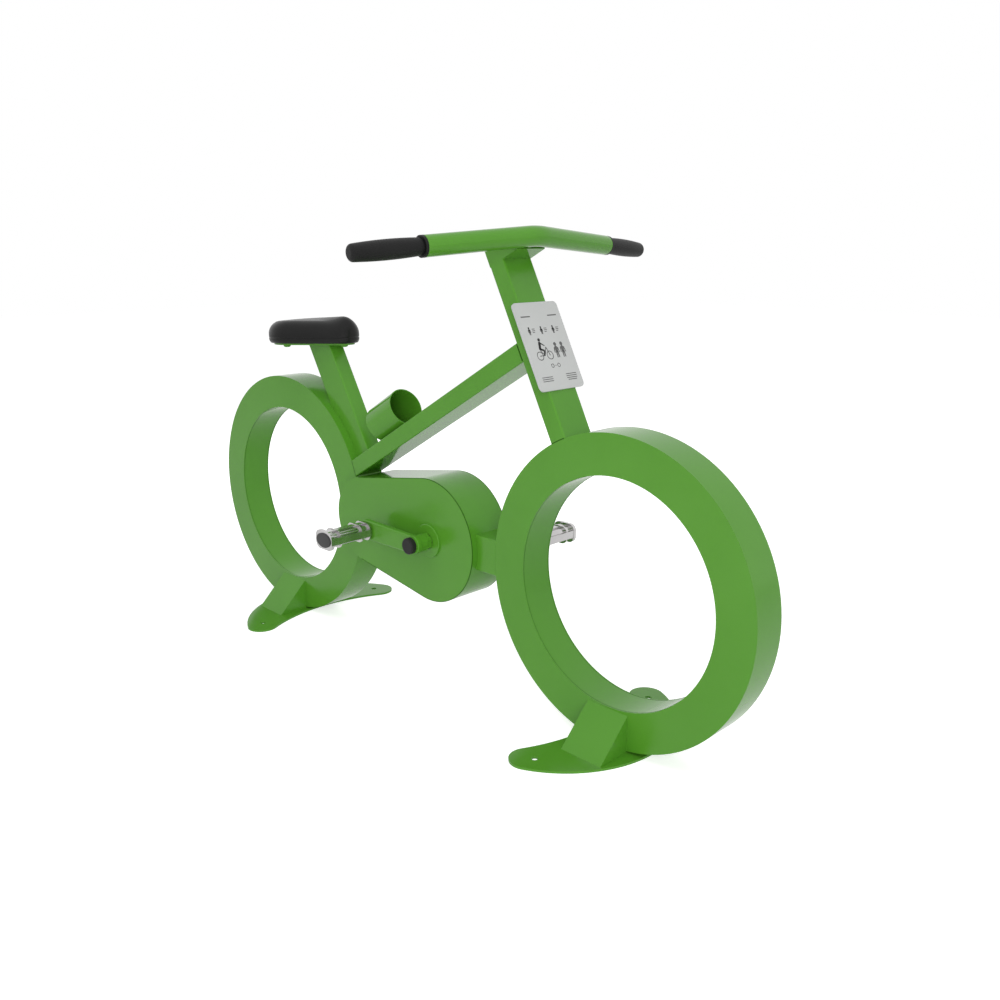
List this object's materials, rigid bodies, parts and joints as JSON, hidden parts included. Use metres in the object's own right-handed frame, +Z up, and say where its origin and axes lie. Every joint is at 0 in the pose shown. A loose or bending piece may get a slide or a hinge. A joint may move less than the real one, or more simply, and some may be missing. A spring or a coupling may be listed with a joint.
{
  "type": "outdoor fitness station",
  "caption": "Fixed park exercise bicycle of green box-section steel on ring-shaped supports, with a pedal crank, an enclosed belt-driven flywheel, saddle, handlebar and bottle tube.",
  "frame": {"origin": "on the ground under the mid plane, midway between the centres of the two rings", "axes": "+X forward along the bicycle, +Y to the rider's left, +Z up"},
  "size_m": [1.7298, 0.8128, 1.0039],
  "materials": {
    "green_paint": "satin yellow-green powder coat",
    "grip_rubber": "matt black rubber",
    "saddle_foam": "black integral-skin foam, satin",
    "sign_sheet": "coated light grey sheet",
    "black_plastic": "moulded black, fine grain",
    "pedal_alloy": "polished casting",
    "bright_steel": "bright zinc-plated or ground",
    "bare_steel": "mill finish",
    "iron": "turned grey iron",
    "pulley_alloy": "turned aluminium",
    "belt_rubber": "black ribbed belt",
    "bronze": "sintered bronze"
  },
  "bodies": {
    "frame": {"axle_bosses": "bare_steel", "bottle_tube": "green_paint", "bottle_tube_floor": "green_paint", "case_left_cover": "green_paint", "case_lugs": "bare_steel", "case_right_plate": "green_paint", "case_rim": "green_paint", "cover_screws": "bright_steel", "crank_bearings": "bright_steel", "drive_belt": "belt_rubber", "flywheel_axle": "bright_steel", "flywheel_bearings": "bright_steel", "front_base_plate": "green_paint", "front_column": "green_paint", "front_left_gusset": "green_paint", "front_right_gusset": "green_paint", "front_ring_inner_band": "green_paint", "front_ring_left_plate": "green_paint", "front_ring_outer_band": "green_paint", "front_ring_right_plate": "green_paint", "handlebar": "green_paint", "left_bar_stub": "bright_steel", "left_bearing_cup": "green_paint", "left_grip": "grip_rubber", "link_tube": "green_paint", "rear_base_plate": "green_paint", "rear_left_gusset": "green_paint", "rear_right_gusset": "green_paint", "rear_ring_inner_band": "green_paint", "rear_ring_left_plate": "green_paint", "rear_ring_outer_band": "green_paint", "rear_ring_right_plate": "green_paint", "right_bar_stub": "bright_steel", "right_bearing_cup": "green_paint", "right_grip": "grip_rubber", "saddle_bolts": "green_paint", "saddle_pad": "saddle_foam", "saddle_plate": "green_paint", "seat_tube": "green_paint", "sign_plate": "sign_sheet", "stem": "green_paint", "top_tube": "green_paint"},
    "crank": {"crank_axle": "bright_steel", "crank_nuts": "green_paint", "right_crank_arm": "green_paint", "left_crank_arm": "green_paint", "right_crank_cap": "black_plastic", "left_crank_cap": "black_plastic", "crank_pulley": "pulley_alloy", "right_pedal_spindle": "bright_steel", "left_pedal_spindle": "bright_steel", "pedal_lock_nuts": "bright_steel"},
    "right_pedal": {"right_pedal_body": "pedal_alloy", "right_pedal_bushes": "bronze", "right_pedal_cap": "black_plastic"},
    "left_pedal": {"left_pedal_body": "pedal_alloy", "left_pedal_bushes": "bronze", "left_pedal_cap": "black_plastic"},
    "flywheel": {"flywheel": "iron", "flywheel_pulley": "pulley_alloy"}
  },
  "joints": [
    {"name": "crank_spin", "type": "hinge", "parent": "frame", "child": "crank", "pos_m": [0.0366, 0, 0.319], "axis": [0, 1, 0], "continuous": true},
    {"name": "right_pedal_spin", "type": "hinge", "parent": "crank", "child": "right_pedal", "pos_m": [-0.1334, -0.1655, 0.319], "axis": [0, 1, 0], "continuous": true},
    {"name": "left_pedal_spin", "type": "hinge", "parent": "crank", "child": "left_pedal", "pos_m": [0.2066, 0.1655, 0.319], "axis": [0, 1, 0], "continuous": true},
    {"name": "flywheel_spin", "type": "hinge", "parent": "frame", "child": "flywheel", "pos_m": [-0.125, 0, 0.319], "axis": [0, 1, 0], "continuous": true}
  ],
  "couplings": [
    {"joint": "flywheel_spin", "follows": "crank_spin", "ratio": 3}
  ]
}
